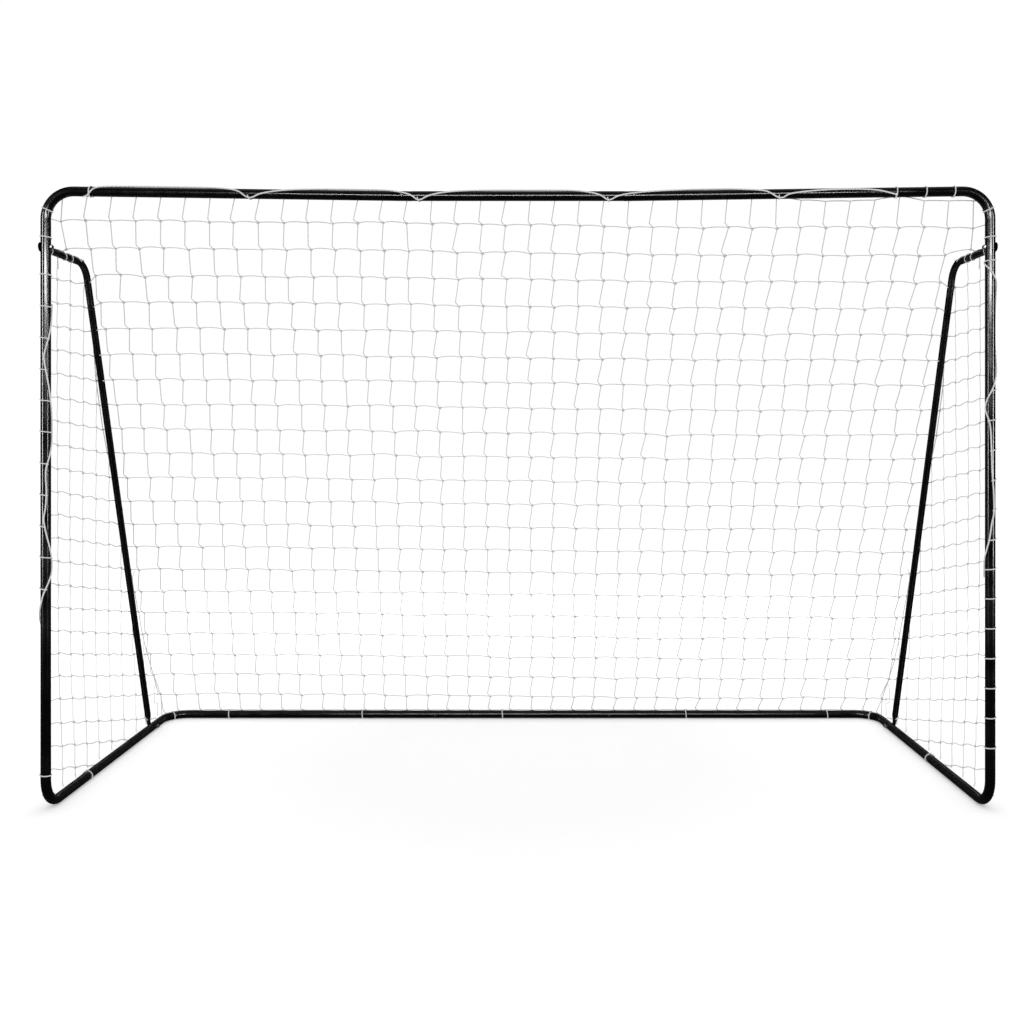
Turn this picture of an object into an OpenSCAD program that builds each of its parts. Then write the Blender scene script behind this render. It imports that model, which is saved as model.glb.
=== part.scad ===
// Backyard soccer goal: a slip-together frame of round steel tube with a laced-on net.
// Millimetres, +Z up, the goal's mouth faces -Y, the origin is at the middle of its footprint.

/* [Overall size] */
// Width over the outsides of the two posts
goal_w = 2440; // [2000:10:3000]
// Height from the ground to the top of the crossbar at the posts
goal_h = 1600; // [1300:10:2000]
// Depth from the front of the posts to the back of the rear bar
goal_d = 910; // [750:10:1200]

/* [Frame tube] */
// Outer diameter of the frame tubes
tube_d = 25; // [20:0.5:32]
// Wall thickness of the frame tubes
tube_wall = 1; // [0.8:0.1:1.5]
// Centreline radius of every frame bend
bend_r = 70; // [50:1:100]

/* [Slip joints] */
// Length of a reduced tube end inside its socket
insert_len = 48; // [36:1:60]
// Smallest radial play left in a slip joint
slip_clear = 0.15; // [0.1:0.05:0.4]
// Gap that shows where two tubes meet
joint_line = 0.4; // [0.2:0.1:1]
// Distance from the middle of the goal to the joints in the crossbar and the rear bar
middle_joint_x = 272; // [200:1:400]
// How far the crossbar sags at its slip joints
crossbar_sag = 12; // [0:1:16]
// Length of a corner's short leg, from its bend to the joint
short_leg = 96; // [90:1:250]
// Depth of the front joint in a side rail, from the post's centre
rail_joint_y = 218; // [160:1:300]

/* [Snap buttons] */
// Diameter of a snap button
button_d = 7; // [5:0.5:8]
// How far a button stands out of the tube
button_proud = 2.5; // [1.5:0.5:4]
// Radial gap between a button and its hole
button_gap = 0.3; // [0.2:0.1:0.6]
// Diameter of the foot that keeps a button in the tube
button_foot_d = 9; // [8:0.5:10]
// Thickness of the leaf spring under a button
leaf_t = 0.7; // [0.5:0.1:1]
// Width of the leaf spring
leaf_w = 8; // [6:0.5:9]

/* [Side braces] */
// Outer diameter of the brace tubes
brace_d = 19; // [16:0.5:22]
// Wall thickness of the brace tubes
brace_wall = 1; // [0.8:0.1:1.5]
// Centreline radius of the brace's knee
brace_bend_r = 60; // [45:1:90]
// Depth of the knee, from the post's centre
brace_knee_y = 261; // [220:1:320]
// Width of a flattened brace end
brace_flat_w = 24; // [20:1:24]
// Length from a bolt to where the brace is round again
brace_flat_len = 42; // [34:1:60]

/* [Bolts] */
// Diameter of the brace bolts
bolt_d = 6; // [5:0.5:8]
// Gap around a bolt in its hole, on the radius
bolt_gap = 0.2; // [0.1:0.05:0.5]
// Diameter of a bolt head
bolt_head_d = 12; // [10:0.5:14]
// Height of a bolt head
bolt_head_h = 3.5; // [2:0.5:5]
// Width of a nut across its flats
nut_af = 10; // [9:0.5:13]
// Height of a nut
nut_h = 5; // [4:0.5:7]
// Length of bolt that shows past its nut
bolt_tail = 2; // [1:0.5:5]

/* [Net and rope] */
// Thickness of the plain sheets that stand for the net
net_t = 0.6; // [0.4:0.1:2]
// How far the back net bows out behind a straight line
net_bow = 73; // [40:1:80]
// Gap between the net sheets and the frame
net_gap = 3; // [2:0.5:6]
// Diameter of the net's twine
twine_d = 2; // [1.5:0.1:3]
// Diameter of the edge rope
rope_d = 3; // [2:0.5:4]
// Distance from a joint in the crossbar to the loop beside it, on the middle tube
joint_loop_back = 28.6; // [15:0.1:60]
// Radial play of a twine loop on its tube
loop_play = 0.1; // [0.05:0.05:0.3]
// How far the rope rides clear of the loops that tie it down
rope_slack = 1.7; // [1.6:0.1:4]

/* [Hidden] */
$fn = 48;
frame_black = [0.03, 0.03, 0.035];
zinc = [0.72, 0.73, 0.75];
spring_steel = [0.5, 0.52, 0.55];
net_white = [0.93, 0.93, 0.91];

tube_r = tube_d / 2;
brace_r = brace_d / 2;
// A loop of twine lies on the tube, and the edge rope lies over the loops.
loop_r = tube_r + twine_d / 2;
rope_r = tube_r + twine_d + rope_d / 2;
// Centre of a laid rope
rope_lay = rope_r + rope_slack;
front_reach = rope_lay + rope_d / 2;
rear_reach = tube_r + twine_d + loop_play;
depth_cc = goal_d - tube_d;
post_x = goal_w / 2 - tube_r;
post_y = -(depth_cc + rear_reach - front_reach) / 2;
rear_y = post_y + depth_cc;
ground_z = tube_r;
crossbar_z = goal_h - tube_r;

// Slip joints: the crossbar's legs lean down to the joint, so the reduced ends need room to lean too.
button_x = middle_joint_x + insert_len / 2;
bend_end_x = post_x - bend_r;
sag_angle = atan(crossbar_sag / (bend_end_x - button_x));
male_r = tube_r - tube_wall - slip_clear - insert_len / 2 * tan(sag_angle);
// Length over which a tube's end closes down to the reduced size, inside its full wall
taper = 4;
post_joint_z = crossbar_z - bend_r - short_leg;
mid_z = crossbar_z - crossbar_sag - bend_r * (1 - cos(sag_angle));
leg_len = (bend_end_x - middle_joint_x) / cos(sag_angle) - bend_r * tan(sag_angle);

// Bends: the wall is drawn a little thinner there, and the straight legs run a little way in.
draw = 0.05;
into_bend = 0.3;

// Brace: bolted through the middle of two slip joints, with a knee behind the post.
brace_bolt_z = post_joint_z + insert_len / 2;
brace_x = post_x + tube_r + brace_wall + 0.1;
foot_joint_y = depth_cc - bend_r - short_leg;
brace_foot_y = foot_joint_y + insert_len / 2;
brace_lean = atan((brace_foot_y - brace_knee_y) / (brace_bolt_z - ground_z));
brace_turn = 90 - brace_lean;
knee_tangent = brace_bend_r * tan(brace_turn / 2);
brace_slope_len = norm([brace_foot_y - brace_knee_y, brace_bolt_z - ground_z]);

// Snap buttons
male_bore = male_r - tube_wall;
button_r = button_d / 2;
button_top = tube_r + button_proud;
button_travel = button_top - male_r + 0.2;
foot_top = sqrt(pow(male_bore, 2) - pow(button_foot_d / 2, 2)) - 0.3;
foot_t = 1;
leaf_low = -sqrt(pow(male_bore, 2) - pow(leaf_w / 2, 2)) + 0.2;
leaf_high = foot_top - foot_t - 0.1;

// Loops of twine on the posts, as steps down each post
loop_step_left = goal_h / 20;
loop_step_right = goal_h / 21;
// Height of the goal that the rope routes on the posts are drawn for
route_h = 1600;

// Net: the side sheets stand outside the braces, and the back sheet hangs between them.
side_net_x = brace_x + brace_r + net_gap;
back_net_x = brace_x - brace_r - net_gap * 2;
net_steps = 12;
net_top = [post_y + front_reach + 1, crossbar_z - crossbar_sag / 2];
net_foot = [rear_y, ground_z + front_reach + 1];
net_dir = (net_foot - net_top) / norm(net_foot - net_top);

// Point number i of the back net's side view, in [y, z]: a straight line plus a bow behind it.
function net_point(i) =
  let (t = i / net_steps, bow = net_bow * sin(180 * pow(t, 0.75)))
  net_top + (net_foot - net_top) * t + bow * [-net_dir[1], net_dir[0]];

// Height of the crossbar's centreline at x
function bar_z(x) =
  abs(x) < button_x ? mid_z
  : abs(x) > bend_end_x ? crossbar_z
  : mid_z + (abs(x) - button_x) * (crossbar_z - mid_z) / (bend_end_x - button_x);

// Route of the rope on the crossbar: [share of the way from the left bend to the right one,
// angle round the bar], where 0 degrees faces front and 90 is on top.
crossbar_route = [[0.012, -75], [0.018, -45], [0.03, 55], [0.06, 78], [0.1, 88], [0.14, 86],
  [0.175, 60], [0.19, 20], [0.201, -42], [0.212, 0], [0.235, 50], [0.26, 72], [0.3, 88], [0.34, 84],
  [0.365, 48], [0.38, 8], [0.389, -42], [0.4, 0], [0.42, 45], [0.45, 74], [0.5, 90], [0.55, 80],
  [0.575, 48], [0.592, 8], [0.602, -42], [0.613, 0], [0.635, 36], [0.67, 66], [0.72, 86], [0.755, 68],
  [0.78, 36], [0.797, -42], [0.81, 0], [0.84, 36], [0.87, 48], [0.9, 30], [0.925, -35]];

// Routes of the ropes on the posts: [height, angle round the post], where 0 degrees faces front
// and 90 faces the inside of the goal.
left_post_route = [[1300, 112], [1250, 84], [1210, 48], [1180, 18], [1165, 8], [1150, 12], [1110, 38],
  [1060, 70], [1010, 98], [960, 104], [920, 72], [885, 32], [860, 24], [820, 30], [780, 22], [755, 6],
  [735, 12], [700, 40], [665, 76], [640, 100], [615, 92], [590, 52], [560, 4], [530, -32],
  [505, -68], [480, -104]];
right_post_route = [[1404, 96], [1388, 30], [1370, -16], [1350, -64], [1310, -96], [1220, -112],
  [1150, -84], [1110, -40], [1080, 4], [1050, 60], [1030, 74], [1006, 40], [980, 20], [920, 10],
  [870, 4], [820, -10], [770, -14], [740, 8], [700, 30], [670, 60], [645, 92], [600, 112]];

// Points of a smooth curve through p, with steps points for each stretch
function smooth(p, steps) = [for (i = [0 : len(p) - 2]) for (s = [0 : steps - 1])
    let (t = s / steps, a = p[max(i - 1, 0)], b = p[i], c = p[i + 1], d = p[min(i + 2, len(p) - 1)])
    b + (c - a) * t / 2 + (2 * a - 5 * b + 4 * c - d) * pow(t, 2) / 2
    + (3 * b - a - 3 * c + d) * pow(t, 3) / 2,
  p[len(p) - 1]];

// A round cord of radius r swept along the points p, whose ring number i has the side axes u[i] and v[i]
module cord(p, u, v, r) {
  sides = 8;
  rings = len(p);
  points = [for (i = [0 : rings - 1]) for (k = [0 : sides - 1])
      p[i] + r * (cos(360 * k / sides) * u[i] + sin(360 * k / sides) * v[i])];
  walls = [for (i = [0 : rings - 2]) for (k = [0 : sides - 1])
      let (a = i * sides + k, b = i * sides + (k + 1) % sides)
      [a, b, b + sides, a + sides]];
  start = [for (k = [0 : sides - 1]) sides - 1 - k];
  finish = [for (k = [0 : sides - 1]) (rings - 1) * sides + k];
  polyhedron(points = points, faces = concat(walls, [start, finish]), convexity = 10);
}

// Direction of the cord at point number i of p
function run_of(p, i) =
  let (a = p[max(i - 1, 0)], b = p[min(i + 1, len(p) - 1)]) (b - a) / norm(b - a);

// A cord of radius r along p, kept square to its run, with out[i] pointing away from what it lies on
module laid_cord(p, out, r) {
  side = [for (i = [0 : len(p) - 1]) let (c = cross(run_of(p, i), out[i])) c / norm(c)];
  up = [for (i = [0 : len(p) - 1]) cross(side[i], run_of(p, i))];
  cord(p, side, up, r);
}

module tube_section(r, wall) {
  difference() {
    circle(r);
    circle(r - wall);
  }
}

// Straight tube along +Z from the origin
module pipe(len, r, wall) {
  linear_extrude(len) tube_section(r, wall);
}

// Reduced end of a frame tube: starts at the origin and points along +Z
module male_end() {
  rotate_extrude() polygon([[tube_r - tube_wall, -taper], [tube_r, -taper], [tube_r, 0],
    [male_r, 0], [male_r, insert_len], [male_bore, insert_len], [male_bore, 0]]);
}

// Bend in the XY plane that starts at the origin heading along +Y and turns towards -X
module bend(angle, r, section_r, wall) {
  translate([-r, 0, 0])
    rotate_extrude(angle = angle, $fn = 96)
      translate([r, 0]) tube_section(section_r - draw, wall - 2 * draw);
}

// Straight leg along +Z from a bend that ends at the origin
module leg(len, section_r, wall) {
  translate([0, 0, -into_bend]) pipe(len + into_bend, section_r, wall);
}

// Hole for a snap button, along +Z from the tube's axis
module button_hole() {
  cylinder(h = tube_d, r = button_r + button_gap);
}

// Straight tube along +Z with a reduced end and a button hole at each end; buttons face +Y.
// It stops one joint line short of each joint, so its button holes lie that much further out.
module twin_male_tube(len, button_at_start, button_at_end) {
  hole = insert_len / 2 + joint_line;
  difference() {
    union() {
      translate([0, 0, taper]) pipe(len - 2 * taper, tube_r, tube_wall);
      translate([0, 0, len]) male_end();
      mirror([0, 0, 1]) male_end();
    }
    if (button_at_start) translate([0, 0, -hole]) rotate([-90, 0, 0]) button_hole();
    if (button_at_end) translate([0, 0, len + hole]) rotate([-90, 0, 0]) button_hole();
  }
}

// Right-hand placings; the left side is their mirror image.
module left_side() {
  mirror([1, 0, 0]) children();
}

// Puts a child, drawn with the tube along X and its outward side at +Z, at a crossbar joint
module at_crossbar_joint() {
  translate([button_x, post_y, mid_z]) rotate([90, 0, 0]) mirror([1, 0, 0]) children();
}
module at_rear_joint() {
  translate([button_x, rear_y, ground_z]) rotate([90, 0, 0]) mirror([1, 0, 0]) children();
}
module at_rail_joint() {
  translate([post_x, post_y + rail_joint_y - insert_len / 2, ground_z])
    rotate([0, 90, 0]) rotate([0, 0, 90]) children();
}

// Holes for a brace bolt, along X
module bolt_hole() {
  rotate([0, 90, 0]) cylinder(h = 4 * tube_d, r = bolt_d / 2 + bolt_gap, center = true);
}
module at_top_bolt() {
  translate([post_x, post_y, brace_bolt_z]) children();
}
module at_foot_bolt() {
  translate([post_x, post_y + brace_foot_y, ground_z]) children();
}

// Middle tube of the crossbar and of the rear bar, from the left joint to the right one
module middle_tube() {
  half_len = middle_joint_x - joint_line;
  color(frame_black) translate([-half_len, 0, 0]) rotate([0, 90, 0]) mirror([0, 1, 0])
    twin_male_tube(2 * half_len, true, true);
}
module crossbar_tube() {
  translate([0, post_y, mid_z]) middle_tube();
}
module rear_tube() {
  translate([0, rear_y, ground_z]) middle_tube();
}

// Short leg down the post, bend, and long leg along the crossbar
module top_corner() {
  leg_z = crossbar_z - bend_r;
  color(frame_black) difference() {
    union() {
      translate([post_x, post_y, leg_z]) {
        rotate([180, 0, 0]) leg(leg_z - post_joint_z, tube_r, tube_wall);
        rotate([90, 0, 0]) bend(90 + sag_angle, bend_r, tube_r, tube_wall);
      }
      translate([bend_end_x, post_y, leg_z]) rotate([0, -90 - sag_angle, 0])
        translate([bend_r, 0, 0]) leg(leg_len, tube_r, tube_wall);
    }
    at_crossbar_joint() button_hole();
    at_top_bolt() bolt_hole();
  }
}

// Post with its reduced top end, the bend at the ground and the first stretch of side rail
module post() {
  foot_z = ground_z + bend_r;
  color(frame_black) difference() {
    union() {
      translate([post_x, post_y, foot_z])
        leg(post_joint_z - joint_line - taper - foot_z, tube_r, tube_wall);
      translate([post_x, post_y, post_joint_z - joint_line]) male_end();
      translate([post_x, post_y + bend_r, foot_z]) rotate([90, 0, -90])
        translate([bend_r, 0, 0]) rotate([180, 0, 0]) bend(90, bend_r, tube_r, tube_wall);
      translate([post_x, post_y + bend_r, ground_z]) rotate([-90, 0, 0])
        leg(rail_joint_y - bend_r, tube_r, tube_wall);
    }
    at_top_bolt() bolt_hole();
    at_rail_joint() button_hole();
  }
}

module side_rail() {
  color(frame_black) difference() {
    translate([post_x, post_y + rail_joint_y + joint_line, ground_z]) rotate([-90, 0, 0])
      rotate([0, 0, -90]) twin_male_tube(foot_joint_y - rail_joint_y - 2 * joint_line, true, false);
    at_foot_bolt() bolt_hole();
  }
}

// Short leg along the side rail, bend, and long leg along the rear bar
module rear_corner() {
  leg_y = rear_y - bend_r;
  start_y = post_y + foot_joint_y;
  color(frame_black) difference() {
    union() {
      translate([post_x, leg_y, ground_z]) rotate([90, 0, 0]) leg(leg_y - start_y, tube_r, tube_wall);
      translate([post_x, leg_y, ground_z]) bend(90, bend_r, tube_r, tube_wall);
      translate([bend_end_x, rear_y, ground_z]) rotate([0, -90, 0])
        leg(bend_end_x - middle_joint_x, tube_r, tube_wall);
    }
    at_rear_joint() button_hole();
    at_foot_bolt() bolt_hole();
  }
}

// Flattened brace end: bolted at the origin, round again at brace_flat_len along +Z, flat across X
module brace_end() {
  plate_t = 2 * brace_wall;
  slice = 0.5;
  difference() {
    union() {
      rotate([0, 90, 0]) cylinder(h = plate_t, d = brace_flat_w, center = true);
      translate([-plate_t / 2, -brace_flat_w / 2, 0]) cube([plate_t, brace_flat_w, brace_flat_w / 2]);
      hull() {
        translate([-plate_t / 2, -brace_flat_w / 2, brace_flat_w / 2 - slice])
          cube([plate_t, brace_flat_w, slice]);
        translate([0, 0, brace_flat_len - slice]) cylinder(h = slice, r = brace_r, $fn = 32);
      }
    }
    bolt_hole();
  }
}

// Straight stretch of brace along +Z with its flattened end at the far end
module brace_leg(len) {
  leg(len, brace_r, brace_wall);
  translate([0, 0, len + brace_flat_len]) rotate([180, 0, 0]) brace_end();
}

// Arm from the post, knee, and slope down to the side rail; both legs start at the knee
module brace() {
  arm_len = brace_knee_y - knee_tangent - brace_flat_len;
  slope_len = brace_slope_len - knee_tangent - brace_flat_len;
  color(frame_black)
    translate([brace_x, post_y + brace_knee_y - knee_tangent, brace_bolt_z]) rotate([0, -90, 0]) {
      bend(brace_turn, brace_bend_r, brace_r, brace_wall);
      rotate([90, 0, 0]) rotate([0, 0, 90]) brace_leg(arm_len);
      translate([-brace_bend_r, 0, 0]) rotate([0, 0, brace_turn]) translate([brace_bend_r, 0, 0])
        rotate([-90, 0, 0]) rotate([0, 0, 90]) brace_leg(slope_len);
    }
}

// Bolt along X: its head bears on the brace's flattened end
module bolt() {
  head_x = brace_x - post_x + brace_wall;
  shank = head_x + tube_r + nut_h + bolt_tail + 0.1;
  rotate([0, 90, 0]) {
    translate([0, 0, head_x - shank]) cylinder(h = shank, d = bolt_d);
    translate([0, 0, head_x]) rotate_extrude()
      polygon([[0, 0], [bolt_head_d / 2, 0], [bolt_head_d / 2, bolt_head_h * 0.35],
        [bolt_head_d * 0.38, bolt_head_h * 0.85], [bolt_head_d * 0.22, bolt_head_h], [0, bolt_head_h]]);
  }
}

module nut() {
  translate([-tube_r - 0.1, 0, 0]) rotate([0, -90, 0]) difference() {
    cylinder(h = nut_h, d = nut_af / cos(30), $fn = 6);
    translate([0, 0, -1]) cylinder(h = nut_h + 2, d = bolt_d + 0.1);
  }
}

module brace_bolts() {
  color(frame_black) {
    at_top_bolt() bolt();
    at_foot_bolt() bolt();
    left_side() at_top_bolt() bolt();
    left_side() at_foot_bolt() bolt();
  }
}

module brace_nuts() {
  color(zinc) {
    at_top_bolt() nut();
    at_foot_bolt() nut();
    left_side() at_top_bolt() nut();
    left_side() at_foot_bolt() nut();
  }
}

// Button with a domed top and a wider foot; its axis is +Z and the tube's axis is X
module snap_button() {
  dome = [for (a = [0 : 15 : 75]) [button_r - 1 + cos(a), button_top - 1 + sin(a)]];
  color(zinc) rotate_extrude()
    polygon(concat([[0, foot_top - foot_t], [button_foot_d / 2, foot_top - foot_t],
      [button_foot_d / 2, foot_top], [button_r, foot_top]], dome,
      [[button_r - 1, button_top], [0, button_top]]));
}

// Folded leaf spring under a button: the fold lies further into the tube, along +X
module snap_spring() {
  pad = 6;
  fold_x = pad + 28;
  color(spring_steel) rotate([90, 0, 0]) linear_extrude(leaf_w, center = true)
    polygon([[-pad, leaf_high], [pad + 1, leaf_high], [fold_x, leaf_low + 2 * leaf_t], [fold_x, leaf_low],
      [-pad, leaf_low], [-pad, leaf_low + leaf_t], [fold_x - 2.5, leaf_low + leaf_t],
      [fold_x - 2.5, leaf_low + 2.6 * leaf_t], [pad + 0.6, leaf_high - leaf_t], [-pad, leaf_high - leaf_t]]);
}

module crossbar_button_right() {
  at_crossbar_joint() snap_button();
}
module rear_button_right() {
  at_rear_joint() snap_button();
}
module rail_button_right() {
  at_rail_joint() snap_button();
}
module crossbar_spring_right() {
  at_crossbar_joint() snap_spring();
}
module rear_spring_right() {
  at_rear_joint() snap_spring();
}
module rail_spring_right() {
  at_rail_joint() snap_spring();
}

// Back net as one thin bowed sheet
module net_back() {
  inner = [for (i = [0 : net_steps]) net_point(i)];
  outer = [for (i = [net_steps : -1 : 0]) net_point(i) + net_t * [-net_dir[1], net_dir[0]]];
  color(net_white) translate([-back_net_x, 0, 0]) rotate([90, 0, 90])
    linear_extrude(2 * back_net_x) polygon(concat(inner, outer));
}

// Side net as one thin flat sheet outside the brace
module net_side() {
  low_z = ground_z + tube_r + net_gap;
  top_z = brace_bolt_z + brace_flat_w / 2;
  knee_y = post_y + brace_knee_y + brace_r;
  round_off = 40;
  color(net_white) translate([side_net_x, 0, 0]) rotate([90, 0, 90])
    linear_extrude(net_t) polygon([[post_y, low_z], [rear_y - tube_r, low_z],
      [knee_y + round_off, top_z - 2 * round_off], [knee_y, top_z - round_off / 4],
      [knee_y - round_off, top_z], [post_y, top_z]]);
}

// Rope over the crossbar, dipping to the front where a net loop holds it
module crossbar_rope() {
  route = smooth(crossbar_route, 2);
  span = 2 * bend_end_x;
  x_of = [for (q = route) -bend_end_x + span * q[0]];
  out = [for (q = route) [0, -cos(q[1]), sin(q[1])]];
  path = [for (i = [0 : len(route) - 1]) [x_of[i], post_y, bar_z(x_of[i])] + rope_lay * out[i]];
  color(net_white) laid_cord(path, out, rope_d / 2);
}

// Rope on a post; side is -1 on the left and 1 on the right
module post_rope(route_points, side) {
  route = smooth(route_points, 3);
  out = [for (q = route) [-side * sin(q[1]), -cos(q[1]), 0]];
  path = [for (i = [0 : len(route) - 1])
      [side * post_x, post_y, route[i][0] * goal_h / route_h] + rope_lay * out[i]];
  color(net_white) laid_cord(path, out, rope_d / 2);
}

module left_post_rope() {
  post_rope(left_post_route, -1);
}
module right_post_rope() {
  post_rope(right_post_route, 1);
}

// Closed loop of twine round a tube along Z
module loop() {
  rotate_extrude() translate([loop_r + loop_play, 0]) circle(d = twine_d, $fn = 16);
}

// Loop left open under a tube that lies on the ground; the tube runs along X
module ground_loop() {
  open_half = 42;
  rotate([0, 90, 0]) rotate([0, 0, open_half])
    rotate_extrude(angle = 360 - 2 * open_half) translate([loop_r + loop_play, 0]) circle(d = twine_d, $fn = 16);
}

module crossbar_loops() {
  lean = 20;
  color(net_white) {
    leg_loops = [for (share = [0.02, 0.197, 0.8, 0.925, 0.958, 0.99]) bend_end_x * (2 * share - 1)];
    joint_loop_x = middle_joint_x - joint_loop_back;
    for (x = concat(leg_loops, [-joint_loop_x, joint_loop_x]))
      translate([x, post_y, bar_z(x)]) rotate([0, 90, 0]) loop();
    for (side = [-1, 1])
      translate([side * bend_end_x, post_y, crossbar_z - bend_r]) rotate([0, side * -lean, 0])
        translate([side * bend_r, 0, 0]) loop();
  }
}

module post_loops_left() {
  steps_down = [for (i = [0 : 10]) post_joint_z - insert_len - i * loop_step_left];
  color(net_white)
    for (z = concat(steps_down, [brace_bolt_z + brace_flat_w, ground_z + bend_r + tube_r]))
      translate([-post_x, post_y, z]) loop();
}

module post_loops_right() {
  steps_down = [for (i = [0 : 12]) 0.675 * goal_h - i * loop_step_right];
  color(net_white)
    for (z = concat(steps_down, [brace_bolt_z + brace_flat_w, post_joint_z - tube_r]))
      translate([post_x, post_y, z]) loop();
}

// Tie halfway round a rear corner's bend
module corner_tie() {
  translate([bend_end_x, rear_y - bend_r, ground_z]) rotate([0, 0, 45])
    translate([bend_r, 0, 0]) rotate([0, 0, 90]) ground_loop();
}

module ground_ties() {
  left_tie_y = 26;
  right_tie_y = 180;
  color(net_white) {
    for (share = [0.06, 0.26, 0.47, 0.745, 0.957])
      translate([-bend_end_x + 2 * bend_end_x * share, rear_y, ground_z]) ground_loop();
    corner_tie();
    left_side() corner_tie();
    translate([-post_x, post_y + rail_joint_y + left_tie_y, ground_z]) rotate([0, 0, 90]) ground_loop();
    translate([post_x, post_y + rail_joint_y + right_tie_y, ground_z]) rotate([0, 0, 90]) ground_loop();
  }
}

crossbar_tube();
rear_tube();
left_side() top_corner();  // top_corner_left
top_corner();  // top_corner_right
left_side() post();  // post_left
post();  // post_right
left_side() side_rail();  // side_rail_left
side_rail();  // side_rail_right
left_side() rear_corner();  // rear_corner_left
rear_corner();  // rear_corner_right
left_side() brace();  // brace_left
brace();  // brace_right
brace_bolts();
brace_nuts();
left_side() crossbar_button_right();  // crossbar_button_left
crossbar_button_right();
left_side() rear_button_right();  // rear_button_left
rear_button_right();
left_side() rail_button_right();  // rail_button_left
rail_button_right();
left_side() crossbar_spring_right();  // crossbar_spring_left
crossbar_spring_right();
left_side() rear_spring_right();  // rear_spring_left
rear_spring_right();
left_side() rail_spring_right();  // rail_spring_left
rail_spring_right();
net_back();
left_side() net_side();  // net_left
net_side();  // net_right
crossbar_rope();
left_post_rope();
right_post_rope();
crossbar_loops();
post_loops_left();
post_loops_right();
ground_ties();
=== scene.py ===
# %% [markdown]
# # A garden soccer goal
# A goal of this kind is black powder-coated steel tube, slipped together, with a white net laced
# on by hand. The steel comes ready-made from the CAD frame, so this lesson is about three things:
# the coat on the steel, a net of real twine worked out with numpy, and the ropes that hold it.

# %% Load the frame
import bpy
import numpy as np
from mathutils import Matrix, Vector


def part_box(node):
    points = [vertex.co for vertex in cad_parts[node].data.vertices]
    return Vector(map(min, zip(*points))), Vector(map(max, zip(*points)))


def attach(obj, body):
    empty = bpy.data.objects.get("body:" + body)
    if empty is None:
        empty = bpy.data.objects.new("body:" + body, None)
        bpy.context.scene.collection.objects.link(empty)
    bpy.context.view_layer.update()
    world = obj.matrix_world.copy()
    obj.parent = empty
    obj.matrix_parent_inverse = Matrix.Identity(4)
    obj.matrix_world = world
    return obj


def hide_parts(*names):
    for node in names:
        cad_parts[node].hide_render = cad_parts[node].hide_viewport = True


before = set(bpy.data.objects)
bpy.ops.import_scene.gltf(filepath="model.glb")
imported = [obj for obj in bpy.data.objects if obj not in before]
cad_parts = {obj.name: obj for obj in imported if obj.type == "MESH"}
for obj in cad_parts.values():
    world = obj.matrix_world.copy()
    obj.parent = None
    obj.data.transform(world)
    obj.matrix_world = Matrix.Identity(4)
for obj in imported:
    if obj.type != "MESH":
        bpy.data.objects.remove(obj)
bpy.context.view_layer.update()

# %% Read the frame's own measures
def middle(node):
    """Centre of a node's box: half the sum of its two corners."""
    low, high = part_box(node)
    return (np.array(low) + np.array(high)) / 2


TUBE_R = (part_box("rear_tube")[1][2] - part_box("rear_tube")[0][2]) / 2
BRACE_R = (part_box("brace_right")[1][0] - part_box("brace_right")[0][0]) / 2
FRONT_Y = middle("crossbar_tube")[1]
REAR_Y = middle("rear_tube")[1]
GROUND_Z = middle("rear_tube")[2]
POST_X = middle("side_rail_right")[0]
BRACE_X = middle("brace_right")[0]
TOP_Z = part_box("top_corner_right")[1][2] - TUBE_R
MID_Z = middle("crossbar_tube")[2]
BRACE_TOP_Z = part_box("brace_right")[1][2] - 0.012
DEPTH = REAR_Y - FRONT_Y
JOINT_X = middle("crossbar_button_right")[0]
KNEE_DEPTH = 0.261
FOOT_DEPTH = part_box("brace_bolts")[1][1] - 0.006 - FRONT_Y
BEND_R = 0.07
BEND_X = POST_X - BEND_R
print("tube radius", TUBE_R, "posts at x", POST_X, "depth between bars", DEPTH, "bar at z", TOP_Z)

# %% [markdown]
# ## Camera, floor and light
# The camera stands level in front of the mouth, a little right of the middle. A level camera keeps
# the posts upright, and a small shift centres the goal without tilting them. The floor is white and
# brightly lit, so that it melts into the white surroundings and keeps only the soft contact shadows.
# The surroundings are darker to reflections than to the eye, or black paint would turn grey.

# %% Camera
camera_data = bpy.data.cameras.new("camera")
camera = bpy.data.objects.new("camera", camera_data)
bpy.context.scene.collection.objects.link(camera)
bpy.context.scene.camera = camera
camera.location = (0.041, FRONT_Y - 2.626, 0.957)
camera.rotation_euler = (np.pi / 2, 0, 0)
camera_data.sensor_width = 36
camera_data.lens = 36.1
camera_data.shift_x = -0.0215
camera_data.shift_y = -0.0723
camera_data.clip_end = 200
print("camera at", tuple(camera.location))

# %% White surroundings
world = bpy.data.worlds.new("studio")
bpy.context.scene.world = world
world.use_nodes = True
world_nodes = world.node_tree.nodes
world_links = world.node_tree.links
world_nodes.clear()
ray = world_nodes.new("ShaderNodeLightPath")
background = world_nodes.new("ShaderNodeBackground")
background.inputs["Color"].default_value = (1, 1, 1, 1)
world_out = world_nodes.new("ShaderNodeOutputWorld")
lit, mirrored = world_nodes.new("ShaderNodeMix"), world_nodes.new("ShaderNodeMix")
for glow, kind, strength in ((lit, "Is Camera Ray", 1.02), (mirrored, "Is Glossy Ray", 0.03)):
    glow.data_type = "FLOAT"
    glow.inputs["B"].default_value = strength
    world_links.new(ray.outputs[kind], glow.inputs["Factor"])
lit.inputs["A"].default_value = 0.74
world_links.new(lit.outputs["Result"], mirrored.inputs["A"])
world_links.new(mirrored.outputs["Result"], background.inputs["Strength"])
world_links.new(background.outputs[0], world_out.inputs[0])
bpy.context.scene.view_settings.view_transform = "Standard"


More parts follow.
